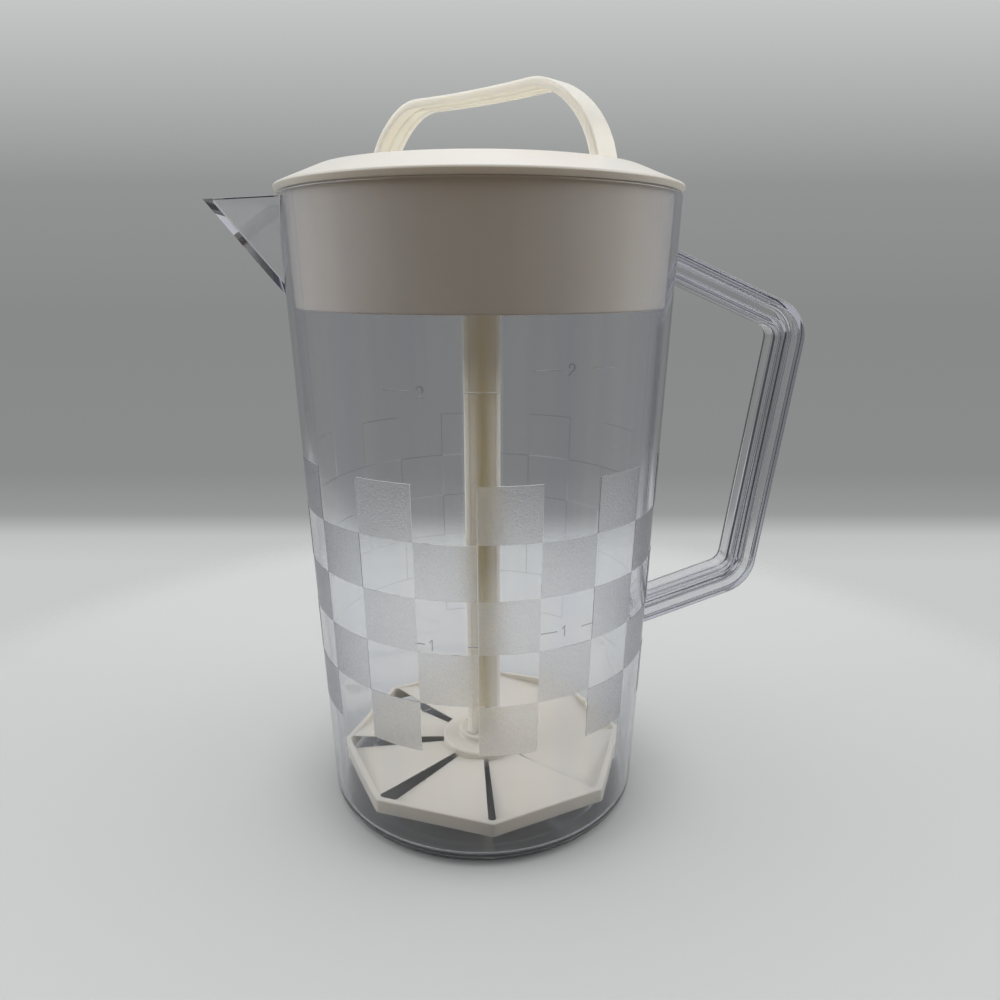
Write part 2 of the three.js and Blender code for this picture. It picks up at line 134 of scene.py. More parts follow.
# Each mark: its number, its height, the angle of the number, the angles of its lines
MARKS = [
    (2, 166.2 * MM, -24.0, [(-33.0, -26.2), (-11.6, -3.8)]),
    (2, 172.2 * MM, 15.0, [(6.1, 13.3), (22.6, 29.7)]),
    (1, 85.4 * MM, -23.4, [(-27.5, -24.8), (-11.6, -9.2)]),
    (1, 88.5 * MM, 16.0, [(9.6, 14.2), (23.2, 27.1)]),
]

# Lines of the digits, in shares of their width and height
ONE = [(0.2, 0.78), (0.55, 1), (0.55, 0)]
TWO_ROUND = [(0, 0.72), (0.12, 0.92), (0.4, 1), (0.7, 0.98), (0.93, 0.83), (0.97, 0.62), (0.8, 0.42)]
TWO_FOOT = [(0, 0), (1, 0)]
DIGITS = {1: ONE, 2: TWO_ROUND + TWO_FOOT}

# Lid
FLANGE_EDGE = 2.5 * MM
FLANGE_BEVEL = 0.9 * MM
FLANGE_TAPER = 0.8 * MM
FLANGE_LIP = 0.2 * MM
FLANGE_GAP = 0.35 * MM
LID_UNDERSIDE = BODY_HEIGHT + FLANGE_GAP
CREST_INSET = 13.2 * MM
CREST_WIDTH = 2.8 * MM
RECESS_DEPTH = 10.1 * MM
RECESS_CORNER = 1.5 * MM
LID_SLOPE = 66
LID_WALL = 2 * MM
SKIRT_GAP = 0.5 * MM
SKIRT_LIP = 0.3 * MM
GUIDE_RADIUS = 13.2 * MM
GUIDE_LENGTH = 9 * MM
GUIDE_GAP = 0.4 * MM
RECESS_FLOOR = CREST_TOP - RECESS_DEPTH
CREST_RADIUS = RIM_RADIUS - CREST_INSET
LID_FACETS = 240
WINDOW_DROP = 3 * MM
WINDOW_TOP = LID_UNDERSIDE - WINDOW_DROP
WINDOW_HEIGHT = 21 * MM
POUR_DIRECTION = 180
POUR_SPREAD = 36
STRAINER_DIRECTION = 118
STRAINER_SLOTS = 7
STRAINER_PITCH = 4.5
STRAINER_WIDTH = 2.2 * MM

# Plunger
PLUNGER_TURN = -49.4
SHAFT_SPAN = 16.2 * MM
SHAFT_RIB = 3 * MM
SHAFT_TIP = 0.7 * MM
SHAFT_FILLET = 0.6 * MM
SOCKET_GAP = 0.3 * MM
ARCH_GAP = 1.3 * MM
ARCH_HALF = CREST_RADIUS - CREST_WIDTH / 2 - ARCH_GAP
ARCH_RADIUS = 32.2 * MM
ARCH_SWEEP = 75
ARCH_SPRING = 4 * MM
ARCH_ROOT = 0.2 * MM
CROWN_DIP = 0.7 * MM
LEG_STEPS = 48
CROWN_STEPS = 16
SHOULDER_STEPS = 5
STRAP = 2.9 * MM
STRAP_WIDTH = 11.5 * MM
STRAP_INSIDE_EDGE = 0.9 * MM
STRAP_EDGE = 0.6 * MM
CHANNEL_DEPTH = 0.8 * MM
CHANNEL_WIDTH = 7.3 * MM
CHANNEL_EDGE = 0.4 * MM
RIB_WIDTH = 1.1 * MM
RIB_EDGE = 0.25 * MM
BAR_HEIGHT = 4 * MM
BAR_INSET = 0.4 * MM
BAR_EDGE = 0.6 * MM
HUB_RADIUS = 12.4 * MM
HUB_HEIGHT = 7 * MM
HUB_EDGE = 2 * MM
HUB_SOCKET = 4.2 * MM
HUB_FACETS = 96

# Mixing plate
PLATE_CORNER = 57.35 * MM
PLATE_CORNER_ROUND = 2 * MM
PLATE_EDGE = 0.5 * MM
PLATE_RIM = 5.5 * MM
PLATE_RIM_WALL = 2 * MM
BLADES = 8
BLADE = 1.6 * MM
BLADE_EDGE = 0.3 * MM
BLADE_UNDERCUT = 2.4 * MM
SLOT_INNER = 1.9 * MM
SLOT_OUTER = 3.2 * MM
PLATE_HUB = 16.5 * MM
PLATE_HUB_STAND = 1 * MM
PLATE_HUB_EDGE = 0.8 * MM
PLATE_BOSS = 9.7 * MM
PLATE_BOSS_STAND = 2.6 * MM
BOSS_FILLET = 1 * MM
PLATE_SOCKET_FLOOR = 2 * MM
PLATE_HUB_FACETS = 128

# How far the cutting tools reach past the form
PAST = 1 * MM
PAST_WALL = 6 * MM
PAST_SPOUT = 8 * MM
PAST_GUIDE = 20 * MM

# Edges sharper than these angles stay crisp, and points nearer than this distance become one
CLEAR_CRISP = 28
MOULDED_CRISP = 32
MERGED = 0.002 * MM

# Faces of a hull that differ by less than this angle in radians become one flat side
FLAT = 0.001

# The sharpest bend at which a swept section is still widened, as the cosine of half the bend
SHARPEST_BEND = 0.5


def outer_radius(height):
    return BASE_RADIUS + TAPER * height


def inner_radius(height):
    return outer_radius(height) - INNER_OFFSET


def arc(centre, radius, start, end, steps=8):
    """Points on an arc, its angles in degrees."""
    turns = [math.radians(start + (end - start) * i / steps) for i in range(steps + 1)]
    return [(centre[0] + radius * math.cos(t), centre[1] + radius * math.sin(t)) for t in turns]


def rounded(corners, closed=True, steps=6):
    """An outline through corners (x, y, radius), each rounded to its radius."""
    outline = []
    count = len(corners)
    for i, (x, y, radius) in enumerate(corners):
        corner = Vector((x, y))
        at_end = not closed and i in (0, count - 1)
        if radius == 0 or at_end:
            outline.append((x, y))
            continue
        back = (Vector(corners[i - 1][:2]) - corner).normalized()
        ahead = (Vector(corners[(i + 1) % count][:2]) - corner).normalized()
        half = back.angle(ahead) / 2
        centre = corner + (back + ahead).normalized() * (radius / math.sin(half))
        reach = radius / math.tan(half)
        start = corner + back * reach - centre
        end = corner + ahead * reach - centre
        swing = math.atan2(start.x * end.y - start.y * end.x, start.dot(end))
        for step in range(steps + 1):
            spoke = Matrix.Rotation(swing * step / steps, 2) @ start
            outline.append(tuple(centre + spoke))
    return outline


def new_object(name, bm):
    """A linked object from a bmesh, its faces turned outwards."""
    bmesh.ops.recalc_face_normals(bm, faces=bm.faces)
    mesh = bpy.data.meshes.new(name)
    bm.to_mesh(mesh)
    bm.free()
    obj = bpy.data.objects.new(name, mesh)
    bpy.context.scene.collection.objects.link(obj)
    return obj


def even_angles(count):
    return [math.tau * i / count for i in range(count)]


def lathe(name, profile, angles, lift=None, paint=None):
    """A profile (radius, height) turned round the upright axis; angles count from the front towards +X.

    A profile that starts off the axis is closed into a ring. lift(angle index, point index) is added to
    a radius, and paint(angle index, point index) gives a face's material index."""
    bm = bmesh.new()
    rings = []
    for j, (radius, height) in enumerate(profile):
        if radius <= 0:
            rings.append([bm.verts.new((0, 0, height))])
            continue
        ring = []
        for i, angle in enumerate(angles):
            r = radius + (lift(i, j) if lift else 0)
            ring.append(bm.verts.new((r * math.sin(angle), -r * math.cos(angle), height)))
        rings.append(ring)
    count = len(angles)
    pairs = [(j, j + 1) for j in range(len(profile) - 1)]
    if profile[0][0] > 0:
        pairs.append((len(profile) - 1, 0))
    for low, high in pairs:
        if len(rings[low]) == len(rings[high]) == 1:
            continue
        for i in range(count):
            k = (i + 1) % count
            below = [rings[low][i], rings[low][k]] if len(rings[low]) > 1 else rings[low]
            above = [rings[high][k], rings[high][i]] if len(rings[high]) > 1 else rings[high]
            face = bm.faces.new(below + above)
            if paint:
                face.material_index = paint(i, low)
    return new_object(name, bm)


def prism(name, outline, low, high, bevel=0.0):
    """An outline in plan, raised between two heights, its edges rounded by a bevel."""
    bm = bmesh.new()
    bottom = [bm.verts.new((x, y, low)) for x, y in outline]
    face = bm.faces.new(bottom)
    raised = bmesh.ops.extrude_face_region(bm, geom=[face])
    top = [v for v in raised["geom"] if isinstance(v, bmesh.types.BMVert)]
    bmesh.ops.translate(bm, verts=top, vec=(0, 0, high - low))
    obj = new_object(name, bm)
    return bevelled(obj, bevel) if bevel else obj


def hull(points):
    """Convex form through points, its flat sides left whole."""
    bm = bmesh.new()
    for p in points:
        bm.verts.new(p)
    made = bmesh.ops.convex_hull(bm, input=bm.verts)
    inside = [g for g in made["geom_interior"] if isinstance(g, bmesh.types.BMVert)]
    bmesh.ops.delete(bm, geom=inside, context="VERTS")
    bmesh.ops.dissolve_limit(bm, angle_limit=FLAT, verts=bm.verts, edges=bm.edges)
    bmesh.ops.recalc_face_normals(bm, faces=bm.faces)
    return bm


def rounded_hull(name, corners):
    """Convex form through corners (point, radius), its edges rounded.

    It is the hull of balls that touch the sides of the sharp form."""
    sharp = hull([at for at, radius in corners])
    spread = []
    for vertex in sharp.verts:
        radius = min(corners, key=lambda corner: (Vector(corner[0]) - vertex.co).length)[1]
        normals = [face.normal for face in vertex.link_faces]
        rows = np.array([tuple(n) for n in normals])
        reach = np.array([n.dot(vertex.co) - radius for n in normals])
        centre = Vector(np.linalg.lstsq(rows, reach, rcond=None)[0])
        ball = bmesh.new()
        bmesh.ops.create_icosphere(ball, subdivisions=3, radius=radius)
        spread += [centre + v.co for v in ball.verts]
        ball.free()
    sharp.free()
    return new_object(name, hull(spread))


def sweep(name, path, section):
    """A closed section (across, sideways) carried along a path (x, z); across points left of it."""
    points = [Vector(p) for p in path]
    bm = bmesh.new()
    rings = []
    for i, p in enumerate(points):
        before = (p - points[i - 1]).normalized() if i else (points[1] - p).normalized()
        after = (points[i + 1] - p).normalized() if i < len(points) - 1 else before
        middle = (before + after).normalized()
        left = Vector((-middle.y, middle.x)) / max(middle.dot(before), SHARPEST_BEND)
        ring = [(p + left * across, sideways) for across, sideways in section]
        rings.append([bm.verts.new((q.x, sideways, q.y)) for q, sideways in ring])
    count = len(section)
    for low, high in zip(rings, rings[1:]):
        for i in range(count):
            k = (i + 1) % count
            bm.faces.new([low[i], low[k], high[k], high[i]])
    bm.faces.new(list(reversed(rings[0])))
    bm.faces.new(rings[-1])
    return new_object(name, bm)


def settle(obj):
    """The object with its modifiers made part of its mesh."""
    graph = bpy.context.evaluated_depsgraph_get()
    mesh = bpy.data.meshes.new_from_object(obj.evaluated_get(graph))
    obj.modifiers.clear()
    obj.data = mesh
    return obj


def bevelled(obj, width, segments=3, angle=35):
    modifier = obj.modifiers.new("bevel", "BEVEL")
    modifier.width = width
    modifier.segments = segments
    modifier.limit_method = "ANGLE"
    modifier.angle_limit = math.radians(angle)
    return settle(obj)


def combine(target, tools, operation):
    """The target joined with, or cut by, the tools, which are used up."""
    for tool in tools:
        modifier = target.modifiers.new("boolean", "BOOLEAN")
        modifier.operation = operation
        modifier.solver = "EXACT"
        modifier.object = tool
        settle(target)
        bpy.data.objects.remove(tool)
    return target


def smooth(obj, angle=MOULDED_CRISP):
    """Smooth shading, with edges sharper than an angle kept crisp."""
    bm = bmesh.new()
    bm.from_mesh(obj.data)
    bmesh.ops.remove_doubles(bm, verts=bm.verts, dist=MERGED)
    limit = math.radians(angle)
    for face in bm.faces:
        face.smooth = True
    for edge in bm.edges:
        edge.smooth = len(edge.link_faces) == 2 and edge.calc_face_angle(0) < limit
    bm.to_mesh(obj.data)
    bm.free()
    modifier = obj.modifiers.new("normals", "WEIGHTED_NORMAL")
    modifier.keep_sharp = True
    return settle(obj)


def place(obj, body, nodes, material, turn=0.0):
    """Puts a piece drawn about the axis into the frame, on its body, in place of its CAD nodes."""
    to_frame = Matrix.Translation((AXIS_X, 0, 0)) @ Matrix.Rotation(math.radians(turn), 4, "Z")
    obj.data.transform(to_frame)
    if not obj.data.materials:
        obj.data.materials.append(material)
    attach(obj, body)
    if nodes:
        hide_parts(*nodes)
    return obj


def wedge(name, direction, spread, inner, outer, low, high):
    """A wedge in plan about a direction in degrees from the front towards +X."""
    sides = [math.radians(direction + share * spread) for share in (-0.5, 0.5)]
    first, second = [Vector((math.sin(side), -math.cos(side))) for side in sides]
    outline = [first * inner, first * outer, second * outer, second * inner]
    return prism(name, outline, low, high)


def cross(span, rib, tip=0.0, corner=0.0):
    """Outline of four ribs in a cross, its tips and inner corners rounded."""
    far, near = span / 2, rib / 2
    quarter = [(far, -near, tip), (far, near, tip), (near, near, corner)]
    corners = []
    for cos, sin in ((1, 0), (0, 1), (-1, 0), (0, -1)):
        corners += [(x * cos - y * sin, x * sin + y * cos, radius) for x, y, radius in quarter]
    return rounded(corners, steps=4)


def shaft_hole(name, gap, low, high):
    """A tool for the hole that the shaft stands in, with a gap all round."""
    return prism(name, cross(SHAFT_SPAN + 2 * gap, SHAFT_RIB + 2 * gap), low, high)


def new_material(name):
    """A material with its node tree and the tree's own shader."""
    material = bpy.data.materials.new(name)
    material.use_nodes = True
    tree = material.node_tree
    return material, tree, tree.nodes["Principled BSDF"]


def new_node(tree, kind, **settings):
    node = tree.nodes.new("ShaderNode" + kind)
    for name, value in settings.items():
        setattr(node, name, value)
    return node


def set_inputs(node, values):
    for name, value in values.items():
        node.inputs[name].default_value = value


def feed(tree, socket, value):
    """Gives a socket a number or a colour, or links it to another node's result."""
    if isinstance(value, bpy.types.NodeSocket):
        tree.links.new(value, socket)
    elif isinstance(value, tuple):
        socket.default_value = (*value, 1)
    else:
        socket.default_value = value


def computed(tree, operation, *values):
    """The result of a Math node on numbers or sockets."""
    node = new_node(tree, "Math", operation=operation)
    for socket, value in zip(node.inputs, values):
        feed(tree, socket, value)
    return node.outputs[0]


def ranged(tree, value, start, end, low=0.0, high=1.0, easing="SMOOTHSTEP"):
    """A value carried from the range start to end over to the range low to high."""
    node = new_node(tree, "MapRange", interpolation_type=easing)
    set_inputs(node, {"From Min": start, "From Max": end, "To Min": low, "To Max": high})
    tree.links.new(value, node.inputs["Value"])
    return node.outputs["Result"]


# Sockets of a Mix node for its first value, its second value and its result
MIX_SOCKETS = {"FLOAT": (2, 3, 0), "RGBA": (6, 7, 2)}


def mixed(tree, share, first, second, kind="RGBA", blend="MIX"):
    """Two colours or numbers mixed by a share."""
    node = new_node(tree, "Mix", data_type=kind, blend_type=blend)
    one, two, result = MIX_SOCKETS[kind]
    feed(tree, node.inputs["Factor"], share)
    feed(tree, node.inputs[one], first)
    feed(tree, node.inputs[two], second)
    return node.outputs[result]


def mixed_shaders(tree, share, first, second):
    node = new_node(tree, "MixShader")
    for socket, value in zip(node.inputs, (share, first, second)):
        feed(tree, socket, value)
    return node.outputs["Shader"]


def plain_shader(tree, kind, color):
    """A shader whose one setting here is its colour."""
    node = new_node(tree, kind)
    feed(tree, node.inputs["Color"], color)
    return node.outputs[0]


def ramp(tree, source, stops):
    """A colour for each value, blended between stops (value, colour)."""
    node = new_node(tree, "ValToRGB")
    elements = node.color_ramp.elements
    elements.remove(elements[1])
    for i, (position, color) in enumerate(stops):
        element = elements.new(position) if i else elements[0]
        element.position = position
        element.color = (*color, 1)
    tree.links.new(source, node.inputs["Fac"])
    return node.outputs["Color"]


def object_place(tree):
    return new_node(tree, "TexCoord").outputs["Object"]


def axes_of(tree, vector):
    """The X, Y and Z of a vector."""
    node = new_node(tree, "SeparateXYZ")
    tree.links.new(vector, node.inputs[0])
    return node.outputs


def noise(tree, scale, detail, stretch=1):
    """Noise on the object, drawn out along the upright axis by a stretch."""
    at = object_place(tree)
    if stretch != 1:
        mapping = new_node(tree, "Mapping")
        mapping.inputs["Scale"].default_value = (1, 1, 1 / stretch)
        tree.links.new(at, mapping.inputs["Vector"])
        at = mapping.outputs["Vector"]
    node = new_node(tree, "TexNoise")
    set_inputs(node, {"Scale": scale, "Detail": detail})
    tree.links.new(at, node.inputs["Vector"])
    return node.outputs["Fac"]


def bump(tree, height, strength, distance, under=None):
    """The normal of a bumpy surface, laid over another one if there is one under it."""
    node = new_node(tree, "Bump")
    node.inputs["Distance"].default_value = distance
    feed(tree, node.inputs["Strength"], strength)
    tree.links.new(height, node.inputs["Height"])
    if under:
        tree.links.new(under, node.inputs["Normal"])
    return node.outputs["Normal"]


def facing(tree):
    """Zero where the surface is seen straight on, and one where it is seen edge on."""
    return new_node(tree, "LayerWeight").outputs["Facing"]


# Light that passes the clear plastic: its shares, the height over which the thick foot ends, and the
# turns inside the plastic that a ray makes before it goes straight on
CLEAR_PASSES = 0.99
FROST_PASSES = 0.96
GRAZING_POWER = 5
FOOT_TINT = 0.55
FOOT_ZONE = (1 * MM, 14 * MM)
MOST_TURNS = 3
TURNED_TINT = 0.55


def lets_light_in(tree, shader, tint):
    """The shader, but see-through for shadow rays and diffuse rays, so that light gets inside.

    Less light passes at a grazing angle and through the thick foot. Rays that have turned many times
    inside the plastic go straight on as well, dimmed, where they would end black."""
    combined = partial(computed, tree)
    path = new_node(tree, "LightPath").outputs
    for_light = combined("MAXIMUM", path["Is Shadow Ray"], path["Is Diffuse Ray"])
    turned = combined("GREATER_THAN", path["Glossy Depth"], MOST_TURNS - 0.5)
    straight = combined("SUBTRACT", 1, combined("POWER", facing(tree), GRAZING_POWER))
    foot = ranged(tree, axes_of(tree, object_place(tree))["Z"], *FOOT_ZONE, FOOT_TINT)
    passed = combined("MULTIPLY", combined("MULTIPLY", straight, foot), tint)
    passed = combined("MULTIPLY", passed, combined("MULTIPLY_ADD", turned, TURNED_TINT - 1, 1))
    through = plain_shader(tree, "BsdfTransparent", passed)
    return mixed_shaders(tree, combined("MAXIMUM", for_light, turned), shader, through)


# Tones of the clear plastic and of its frost, from seen straight on to seen at a slant; the darker
# tones at a slant are painted shade at the edges of the wall
CLEAR_SLANT_SHADE_TONES = [(0.5, (0.99, 0.99, 0.99)), (0.85, (0.80, 0.80, 0.85)), (0.99, (0.35, 0.35, 0.42))]
FROST_SLANT_SHADE_TONES = [(0.05, (0.98, 0.98, 0.97)), (0.5, (0.68, 0.68, 0.71)), (0.8, (0.31, 0.31, 0.37))]
FROST_SPECKLE = 0.7

# Upright streaks of a darker tone, which are painted reflections, and slight flow lines and hairline
# wear of the clear plastic
CLEAR_IOR = 1.53
REFLECTION_STREAKS = {"scale": 90, "detail": 2, "stretch": 30}
REFLECTION_STREAK_TONES = [(0.35, (0.95, 0.955, 0.98)), (0.6, (1.0, 1.0, 0.99))]
FLOW = {"scale": 60, "detail": 2, "stretch": 6}
FLOW_STRENGTH = 0.12
FLOW_RELIEF = 0.1 * MM
WEAR = {"scale": 420, "detail": 4, "stretch": 9}
WEAR_SEEN = (0.5, 0.8)
WEAR_ROUGHNESS = (0.01, 0.09)

# Wrinkled grain and white bloom of the frost, and the share of it that is lost from the inside
FROST_GRAIN = {"scale": 1500, "detail": 3}
FROST_STRENGTH = 0.9
FROST_RELIEF = 0.12 * MM
FROST_ROUGHNESS = 0.3
FROST_LOST_INSIDE = 0.85
BLOOM_COLOR = (0.86, 0.86, 0.86)
BLOOM_ON_FRONT = 0.35
BLOOM_SEEN = (0.3, 0.7)
BLOOM_SHARE = (0.02, 0.08)

# Tint in the depth of the clear plastic
DEPTH_COLOR = (0.76, 0.766, 0.824)
DEPTH_DENSITY = 105


def frost_share(tree):
    """How frosted the surface is: the faces' mark, most of it lost where they are seen from inside."""
    mark = new_node(tree, "Attribute", attribute_name="frost").outputs["Fac"]
    inside = new_node(tree, "NewGeometry").outputs["Backfacing"]
    lost = computed(tree, "MULTIPLY", inside, FROST_LOST_INSIDE)
    return computed(tree, "MULTIPLY", mark, computed(tree, "SUBTRACT", 1, lost))


def clear_color(tree, frost, grain):
    """Clear with faint painted reflection streaks, or grained where it is frosted, and darker at a
    slant as painted shade.
    """
    slant = facing(tree)
    # Upright darker streaks are painted reflections
    reflection_streaks = ramp(tree, noise(tree, **REFLECTION_STREAKS), REFLECTION_STREAK_TONES)
    # The clear tone is painted darker at a slant, as shade at the wall's edges
    clear = mixed(tree, 1, ramp(tree, slant, CLEAR_SLANT_SHADE_TONES), reflection_streaks, blend="MULTIPLY")
    speckle = computed(tree, "MULTIPLY_ADD", grain, FROST_SPECKLE, -FROST_SPECKLE / 2)
    # The frost is painted darker at a slant as shade too, speckled by its grain
    frosted = ramp(tree, computed(tree, "ADD", slant, speckle), FROST_SLANT_SHADE_TONES)
    return mixed(tree, frost, clear, frosted)


def white_bloom(tree):
    """White that light reaches from both sides."""
    back = plain_shader(tree, "BsdfTranslucent", BLOOM_COLOR)
    front = plain_shader(tree, "BsdfDiffuse", BLOOM_COLOR)
    return mixed_shaders(tree, BLOOM_ON_FRONT, back, front)


def clear_material():
    """Clear plastic, faintly lavender in its depth, with slight flow lines and hairline wear.

    Faces marked as frost blur what is behind them, with a wrinkled grain and a faint white bloom."""
    material, tree, shader = new_material("clear_plastic")
    set_inputs(shader, {"IOR": CLEAR_IOR, "Transmission Weight": 1})
    frost = frost_share(tree)
    grain = noise(tree, **FROST_GRAIN)
    by_frost = partial(mixed, tree, frost, kind="FLOAT")
    feed(tree, shader.inputs["Base Color"], clear_color(tree, frost, grain))
    flow = bump(tree, noise(tree, **FLOW), FLOW_STRENGTH, FLOW_RELIEF)
    wrinkles = bump(tree, grain, by_frost(0, FROST_STRENGTH), FROST_RELIEF, flow)
    feed(tree, shader.inputs["Normal"], wrinkles)
    dull = ranged(tree, noise(tree, **WEAR), *WEAR_SEEN, *WEAR_ROUGHNESS, "LINEAR")
    feed(tree, shader.inputs["Roughness"], by_frost(dull, FROST_ROUGHNESS))
    bloom = by_frost(0, ranged(tree, grain, *BLOOM_SEEN, *BLOOM_SHARE, "LINEAR"))
    plastic = mixed_shaders(tree, bloom, shader.outputs["BSDF"], white_bloom(tree))
    output = tree.nodes["Material Output"]
    surface = lets_light_in(tree, plastic, by_frost(CLEAR_PASSES, FROST_PASSES))
    feed(tree, output.inputs["Surface"], surface)
    depth = new_node(tree, "VolumeAbsorption")
    set_inputs(depth, {"Color": (*DEPTH_COLOR, 1), "Density": DEPTH_DENSITY})
    feed(tree, output.inputs["Volume"], depth.outputs["Volume"])
    return material


# Mottling, fine grain and glow of the moulded plastics; the glow reaches less far in green and blue
MOULDED_IOR = 1.5
MOTTLE = {"scale": 28, "detail": 4}
MOTTLE_SEEN = (0.3, 0.6)
FINE_GRAIN = {"scale": 900, "detail": 3}
FINE_STRENGTH = 0.12
FINE_RELIEF = 0.03 * MM
GLOW_REACH = (1.0, 0.88, 0.68)


def moulded_material(name, color, dark, roughness, glow, depth):
    """Opaque moulded plastic with faint mottling and fine grain, its glow reaching to a depth."""
    material, tree, shader = new_material(name)
    settings = {
        "Roughness": roughness,
        "Subsurface Weight": glow,
        "Subsurface Scale": depth,
        "Subsurface Radius": GLOW_REACH,
        "IOR": MOULDED_IOR,
    }
    set_inputs(shader, settings)
    grain = bump(tree, noise(tree, **FINE_GRAIN), FINE_STRENGTH, FINE_RELIEF)
    feed(tree, shader.inputs["Normal"], grain)
    mottled = ramp(tree, noise(tree, **MOTTLE), list(zip(MOTTLE_SEEN, (dark, color))))
    feed(tree, shader.inputs["Base Color"], mottled)
    return material


CLEAR = clear_material()
WHITE = moulded_material(
    "white_plastic",
    color=(0.83, 0.805, 0.755),
    dark=(0.80, 0.77, 0.715),
    roughness=0.32,
    glow=0.25,
    depth=2 * MM,
)
CREAM = moulded_material(
    "cream_plastic",
    color=(0.90, 0.87, 0.79),
    dark=(0.87, 0.835, 0.745),
    roughness=0.36,
    glow=0.7,
    depth=6 * MM,
)
# The plate is the plunger's cream plastic, painted darker as shade for where it lies inside the pitcher
# under the lid
CREAM_IN_PAINTED_SHADE = moulded_material(
    "cream_plastic_painted_shade",
    color=(0.76, 0.72, 0.635),
    dark=(0.72, 0.68, 0.595),
    roughness=0.4,
    glow=0.3,
    depth=3 * MM,
)


def check_angles():
    """Angles for the body's facets: fine steps at each side of a check column."""
    column = math.tau / CHECK_COLUMNS
    edge = CHECK_EDGE / BASE_RADIUS
    facet = (column - 2 * edge) / FACES_PER_CHECK
    angles = []
    for k in range(CHECK_COLUMNS):
        start = (k - 0.5) * column + edge
        angles += [start + facet * i for i in range(FACES_PER_CHECK + 1)]
    return angles


def wall_heights():
    """Heights of the wall's points: fine steps at each side of a check row, and a few above."""
    low_edge = CHECK_LOW - CHECK_EDGE
    high_edge = CHECK_LOW + CHECK_ROWS * CHECK_ROW + CHECK_EDGE
    heights = [low_edge]
    for row in range(CHECK_ROWS):
        low = CHECK_LOW + row * CHECK_ROW
        heights += [low + CHECK_EDGE, low + CHECK_ROW / 2, low + CHECK_ROW - CHECK_EDGE]
    above = [high_edge + (BODY_HEIGHT - high_edge) * share for share in (0.25, 0.5, 0.75)]
    return heights + [high_edge] + above


def body_profile():
    """Outside of the body, from the middle of the underside to the middle of the top."""
    foot = outer_radius(CORNER) - CORNER
    underside = rounded(
        [
            (0, FOOT_HEIGHT, 0),
            (foot - FOOT_WIDTH - FOOT_HEIGHT, FOOT_HEIGHT, FOOT_FILLET),
            (foot - FOOT_WIDTH, 0, FOOT_EDGE),
            (foot, 0, 0),
        ],
        closed=False,
    )
    corner = arc((foot, CORNER), CORNER, -90, 0, 10)
    wall = [(outer_radius(z), z) for z in wall_heights()]
    rim = arc((RIM_RADIUS - RIM_EDGE, BODY_HEIGHT - RIM_EDGE), RIM_EDGE, 0, 90, 5)
    return underside[:-1] + corner + wall + rim + [(0, BODY_HEIGHT)]


def check_rows_of(profile):
    """For each profile point, the check row it lies in, or None."""
    rows = []
    for radius, height in profile:
        row = (height - CHECK_LOW) / CHECK_ROW
        on_wall = radius > 0 and abs(radius - outer_radius(height)) < CHECK_TOLERANCE
        rows.append(math.floor(row) if on_wall and 0 < row < CHECK_ROWS else None)
    return rows


def cavity():
    """The inside of the body, from the floor's top to above the rim."""
    corner = CORNER - WALL
    height = FLOOR + corner
    centre = (inner_radius(height) - corner, height)
    top = BODY_HEIGHT + PAST_WALL
    steps = [height + (top - height) * i / 6 for i in range(1, 7)]
    wall = [(inner_radius(z), z) for z in steps]
    profile = [(0, FLOOR)] + arc(centre, corner, -90, 0, 10) + wall + [(0, top)]
    return lathe("cavity", profile, check_angles())


def spout_form(name, inwards, upwards):
    """The spout's outer form, or its hollow where it is moved inwards and drawn upwards."""
    root = -outer_radius(BODY_HEIGHT - SPOUT_DEPTH) + inwards
    edge = -math.sqrt(RIM_RADIUS**2 - SPOUT_HALF**2) + inwards
    back = -RIM_RADIUS / 2
    tip = -RIM_RADIUS - SPOUT_LENGTH + inwards
    corners = [
        ((tip + NOSE_DEPTH, 0, SPOUT_TOP - NOSE_HEIGHT), SPOUT_EDGE),
        ((root, 0, BODY_HEIGHT - SPOUT_DEPTH), RIDGE_RADIUS),
        ((back, 0, BODY_HEIGHT - SPOUT_DEPTH), RIDGE_RADIUS),
    ]
    for side in (-1, 1):
        for height in (SPOUT_TOP, SPOUT_TOP + upwards):
            corners.append(((edge, side * SPOUT_HALF, height), SPOUT_EDGE))
            corners.append(((back, side * SPOUT_HALF, height), SPOUT_EDGE))
            corners.append(((tip, side * NOSE_HALF, height), SPOUT_EDGE))
    return rounded_hull(name, corners)


def spout_shift():
    """How far the hollow moves inwards for the flat sides to be one wall thick."""
    edge = Vector((-math.sqrt(RIM_RADIUS**2 - SPOUT_HALF**2), SPOUT_HALF, SPOUT_TOP))
    tip = Vector((-RIM_RADIUS - SPOUT_LENGTH, 0, SPOUT_TOP))
    root = Vector((-outer_radius(BODY_HEIGHT - SPOUT_DEPTH), 0, BODY_HEIGHT - SPOUT_DEPTH))
    side = (tip - edge).cross(root - edge).normalized()
    return SPOUT_WALL / abs(side.x)


def band_path():
    """Outer line of the side handle, its arms run into the wall."""
    root = BASE_RADIUS - WALL
    top = (RIM_RADIUS + TOP_CORNER[0], BODY_HEIGHT - TOP_CORNER[1])
    low = (BASE_RADIUS + LOW_CORNER[0], LOW_CORNER[1])
    top_slope = (TOP_CORNER[1] - HANDLE_TOP_DROP) / TOP_CORNER[0]
    low_slope = (LOW_CORNER[1] - HANDLE_LOW) / LOW_CORNER[0]
    return rounded(
        [
            (root, top[1] + top_slope * (top[0] - root), 0),
            (*top, HANDLE_BEND),
            (*low, HANDLE_BEND),
            (root, low[1] - low_slope * (low[0] - root), 0),
        ],
        closed=False,
        steps=16,
    )


